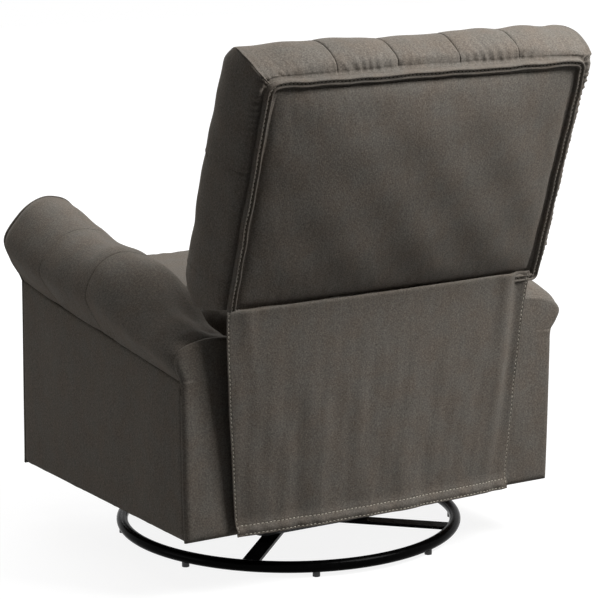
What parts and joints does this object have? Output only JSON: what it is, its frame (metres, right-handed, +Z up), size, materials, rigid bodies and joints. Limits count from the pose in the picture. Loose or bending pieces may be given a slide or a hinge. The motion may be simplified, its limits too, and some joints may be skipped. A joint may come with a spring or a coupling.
{
  "type": "swivel glider recliner",
  "caption": "Upholstered swivel glider recliner with rolled arms, tufted back, hanging rear flap, fold-out footrest and steel ring base.",
  "frame": {"origin": "on the floor under the middle of the chair's footprint, arms' front faces to the rear welt", "axes": "+Z up, the sitter faces -Y, +X is the sitter's left"},
  "size_m": [0.8478, 0.86, 1.0076],
  "materials": {
    "black_paint": "gloss black enamel on steel",
    "dark_steel": "black oxide and paint on stamped steel",
    "bright_steel": "zinc plated",
    "glide_plastic": "moulded polypropylene",
    "wood": "plain sawn plywood and softwood",
    "webbing": "woven elastic webbing",
    "upholstery": "woven taupe grey polyester",
    "flap_cloth": "single layer of the same woven cloth",
    "welt": "covered welt cord"
  },
  "bodies": {
    "base": {"base_ring": "black_paint", "base_spokes": "black_paint", "base_feet": "glide_plastic", "base_plate": "dark_steel", "swivel_lower_race": "bright_steel", "swivel_slide_ring": "glide_plastic", "swivel_king_pin": "bright_steel"},
    "swivel": {"swivel_upper_race": "bright_steel", "swivel_plate": "dark_steel", "glide_channels": "dark_steel", "glide_tower_left": "dark_steel", "glide_tower_right": "dark_steel", "glide_top_pins": "bright_steel"},
    "front_glide_links": {"glide_links_front": "dark_steel"},
    "rear_glide_links": {"glide_links_rear": "dark_steel"},
    "chair": {"glide_hanger_left": "dark_steel", "glide_hanger_right": "dark_steel", "glide_lower_pins": "bright_steel", "seat_cross_tubes": "dark_steel", "mech_plate_left": "dark_steel", "mech_plate_right": "dark_steel", "mech_bolts": "bright_steel", "mech_pins": "bright_steel", "seat_rail_left": "wood", "seat_rail_right": "wood", "seat_front_rail": "wood", "seat_front_board": "wood", "seat_rear_rail": "wood", "seat_webbing": "webbing", "seat_cushion": "upholstery", "arm_frame_left": "wood", "arm_frame_right": "wood", "arm_outer_panel_left": "upholstery", "arm_outer_panel_right": "upholstery", "arm_inner_panel_left": "upholstery", "arm_inner_panel_right": "upholstery", "arm_roll_left": "upholstery", "arm_roll_right": "upholstery", "arm_front_left": "upholstery", "arm_front_right": "upholstery", "arm_rear_left": "upholstery", "arm_rear_right": "upholstery"},
    "back": {"back_frame": "wood", "back_brackets": "dark_steel", "back_cushion": "upholstery", "back_lower_cushion": "upholstery", "back_panel": "upholstery", "back_welt": "welt", "back_buttons": "upholstery"},
    "flap": {"rear_flap": "flap_cloth"},
    "drive_links": {"footrest_drive_links": "dark_steel", "footrest_torque_tube": "dark_steel", "footrest_elbow_pins": "bright_steel"},
    "front_links": {"footrest_front_links": "dark_steel"},
    "stays": {"footrest_stays": "dark_steel"},
    "footrest": {"footrest_brackets": "dark_steel", "footrest_board": "wood", "footrest_pad": "upholstery"},
    "lever": {"release_lever": "glide_plastic"}
  },
  "joints": [
    {"name": "swivel", "type": "hinge", "parent": "base", "child": "swivel", "pos_m": [0, -0.05498, 0.0371], "axis": [0, 0, 1], "continuous": true},
    {"name": "glide", "type": "hinge", "parent": "swivel", "child": "front_glide_links", "pos_m": [0, -0.14998, 0.236], "axis": [1, 0, 0], "range_deg": [-20, 20]},
    {"name": "glide_rear", "type": "hinge", "parent": "swivel", "child": "rear_glide_links", "pos_m": [0, 0.04002, 0.236], "axis": [1, 0, 0], "range_deg": [-20, 20]},
    {"name": "glide_carry", "type": "hinge", "parent": "front_glide_links", "child": "chair", "pos_m": [0, -0.14998, 0.121], "axis": [1, 0, 0], "range_deg": [-20, 20]},
    {"name": "recline", "type": "hinge", "parent": "chair", "child": "back", "pos_m": [0, 0.17002, 0.4], "axis": [-1, 0, 0], "range_deg": [0, 30]},
    {"name": "flap_hang", "type": "hinge", "parent": "back", "child": "flap", "pos_m": [0, 0.28902, 0.516], "axis": [1, 0, 0], "range_deg": [0, 30]},
    {"name": "footrest_lift", "type": "hinge", "parent": "chair", "child": "drive_links", "pos_m": [0, -0.29498, 0.318], "axis": [-1, 0, 0], "range_deg": [0, 75]},
    {"name": "footrest_elbow", "type": "hinge", "parent": "drive_links", "child": "front_links", "pos_m": [0, -0.36851, 0.11597], "axis": [1, 0, 0], "range_deg": [0, 150]},
    {"name": "footrest_stay", "type": "hinge", "parent": "drive_links", "child": "stays", "pos_m": [0, -0.35312, 0.15825], "axis": [1, 0, 0], "range_deg": [0, 150]},
    {"name": "footrest_toe", "type": "hinge", "parent": "front_links", "child": "footrest", "pos_m": [0, -0.36851, 0.33097], "axis": [-1, 0, 0], "range_deg": [0, 150]},
    {"name": "lever_pull", "type": "hinge", "parent": "chair", "child": "lever", "pos_m": [0, -0.14498, 0.318], "axis": [-1, 0, 0], "range_deg": [0, 37.5]}
  ],
  "couplings": [
    {"joint": "glide_rear", "follows": "glide", "ratio": 1},
    {"joint": "glide_carry", "follows": "glide", "ratio": -1},
    {"joint": "flap_hang", "follows": "recline", "ratio": 1},
    {"joint": "footrest_elbow", "follows": "footrest_lift", "ratio": 2},
    {"joint": "footrest_stay", "follows": "footrest_lift", "ratio": 2},
    {"joint": "footrest_toe", "follows": "footrest_lift", "ratio": 2},
    {"joint": "lever_pull", "follows": "footrest_lift", "ratio": 0.5}
  ]
}
